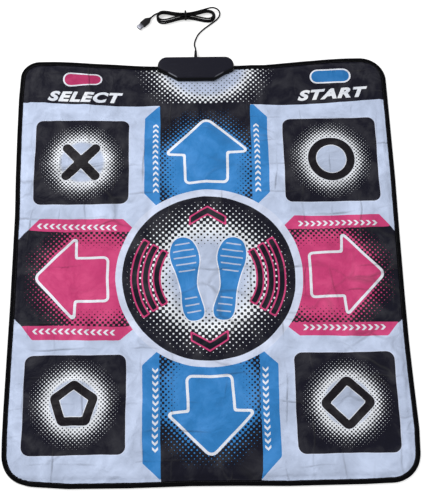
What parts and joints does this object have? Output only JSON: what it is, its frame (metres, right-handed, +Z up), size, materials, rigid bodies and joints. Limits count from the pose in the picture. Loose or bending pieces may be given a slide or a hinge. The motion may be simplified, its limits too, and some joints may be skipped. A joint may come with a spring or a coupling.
{
  "type": "dance mat controller",
  "caption": "Soft floor mat with foot buttons in a square layout, bound edge, a control box at the rear hem and a tied cable with a plug.",
  "frame": {"origin": "centre of the mat's footprint on the floor, cable left out", "axes": "+X to the right of the player, +Y towards the control box, +Z up"},
  "size_m": [0.82, 1.0834, 0.02],
  "materials": {
    "cover_cloth": "coated cloth, satin",
    "pink_print": "coated cloth, satin",
    "blue_print": "coated cloth, satin",
    "black_print": "coated cloth, satin",
    "tape": "woven tape, matt",
    "backing": "dotted non-slip cloth, matt",
    "foam": "foam, matt",
    "film": "polyester film",
    "carbon": "printed carbon, matt",
    "box_shell": "moulded, satin",
    "board": "board with solder mask",
    "chip": "moulded, matt",
    "can": "plain metal",
    "capacitor": "sleeved can",
    "strip": "soft, matt",
    "bar": "moulded, matt",
    "screw": "plated",
    "relief": "moulded, satin",
    "wire_red": "sleeve",
    "wire_white": "sleeve",
    "wire_green": "sleeve",
    "wire_black": "sleeve",
    "cord": "jacket, satin",
    "tie": "flat band",
    "grip": "moulded, satin",
    "plug_metal": "plated",
    "tongue": "moulded",
    "contact": "gilt"
  },
  "bodies": {
    "mat": {"printed_cover": "cover_cloth", "edge_binding": "tape", "upper_contact_film": "film", "spacer_foam": "foam", "lower_contact_film": "film", "padding_foam": "foam", "non_slip_backing": "backing", "box_upper_shell": "box_shell", "box_lower_shell": "box_shell", "circuit_board": "board", "controller_chip": "chip", "crystal": "can", "capacitor": "capacitor", "contact_rubber_strip": "strip", "clamp_bar": "bar", "clamp_screw_left": "screw", "clamp_screw_right": "screw", "case_screw_1": "screw", "case_screw_2": "screw", "case_screw_3": "screw", "case_screw_4": "screw", "strain_relief": "relief", "cable_wire_1": "wire_red", "cable_wire_2": "wire_white", "cable_wire_3": "wire_green", "cable_wire_4": "wire_black", "cable_free": "cord", "cable_hank": "cord", "plug_lead": "cord", "cable_tie": "tie", "plug_grip": "grip", "plug_shell": "plug_metal", "plug_tongue": "tongue", "plug_contact_1": "contact", "plug_contact_2": "contact", "plug_contact_3": "contact", "plug_contact_4": "contact"},
    "arrow_up_button": {"arrow_up_skin": "blue_print", "arrow_up_patch": "carbon"},
    "arrow_down_button": {"arrow_down_skin": "blue_print", "arrow_down_patch": "carbon"},
    "arrow_left_button": {"arrow_left_skin": "pink_print", "arrow_left_patch": "carbon"},
    "arrow_right_button": {"arrow_right_skin": "pink_print", "arrow_right_patch": "carbon"},
    "corner_rear_left_button": {"corner_rear_left_skin": "black_print", "corner_rear_left_patch": "carbon"},
    "corner_rear_right_button": {"corner_rear_right_skin": "black_print", "corner_rear_right_patch": "carbon"},
    "corner_front_left_button": {"corner_front_left_skin": "black_print", "corner_front_left_patch": "carbon"},
    "corner_front_right_button": {"corner_front_right_skin": "black_print", "corner_front_right_patch": "carbon"},
    "select_button": {"select_skin": "pink_print", "select_patch": "carbon"},
    "start_button": {"start_skin": "blue_print", "start_patch": "carbon"}
  },
  "joints": [
    {"name": "arrow_up_press", "type": "slide", "parent": "mat", "child": "arrow_up_button", "axis": [0, 0, -1], "range_m": [0, 0.0023], "stiffness_N_per_m": 3000, "springref_m": -0.0005},
    {"name": "arrow_down_press", "type": "slide", "parent": "mat", "child": "arrow_down_button", "axis": [0, 0, -1], "range_m": [0, 0.0023], "stiffness_N_per_m": 3000, "springref_m": -0.0005},
    {"name": "arrow_left_press", "type": "slide", "parent": "mat", "child": "arrow_left_button", "axis": [0, 0, -1], "range_m": [0, 0.0023], "stiffness_N_per_m": 3000, "springref_m": -0.0005},
    {"name": "arrow_right_press", "type": "slide", "parent": "mat", "child": "arrow_right_button", "axis": [0, 0, -1], "range_m": [0, 0.0023], "stiffness_N_per_m": 3000, "springref_m": -0.0005},
    {"name": "corner_rear_left_press", "type": "slide", "parent": "mat", "child": "corner_rear_left_button", "axis": [0, 0, -1], "range_m": [0, 0.0023], "stiffness_N_per_m": 3000, "springref_m": -0.0005},
    {"name": "corner_rear_right_press", "type": "slide", "parent": "mat", "child": "corner_rear_right_button", "axis": [0, 0, -1], "range_m": [0, 0.0023], "stiffness_N_per_m": 3000, "springref_m": -0.0005},
    {"name": "corner_front_left_press", "type": "slide", "parent": "mat", "child": "corner_front_left_button", "axis": [0, 0, -1], "range_m": [0, 0.0023], "stiffness_N_per_m": 3000, "springref_m": -0.0005},
    {"name": "corner_front_right_press", "type": "slide", "parent": "mat", "child": "corner_front_right_button", "axis": [0, 0, -1], "range_m": [0, 0.0023], "stiffness_N_per_m": 3000, "springref_m": -0.0005},
    {"name": "select_press", "type": "slide", "parent": "mat", "child": "select_button", "axis": [0, 0, -1], "range_m": [0, 0.0023], "stiffness_N_per_m": 3000, "springref_m": -0.0005},
    {"name": "start_press", "type": "slide", "parent": "mat", "child": "start_button", "axis": [0, 0, -1], "range_m": [0, 0.0023], "stiffness_N_per_m": 3000, "springref_m": -0.0005}
  ]
}
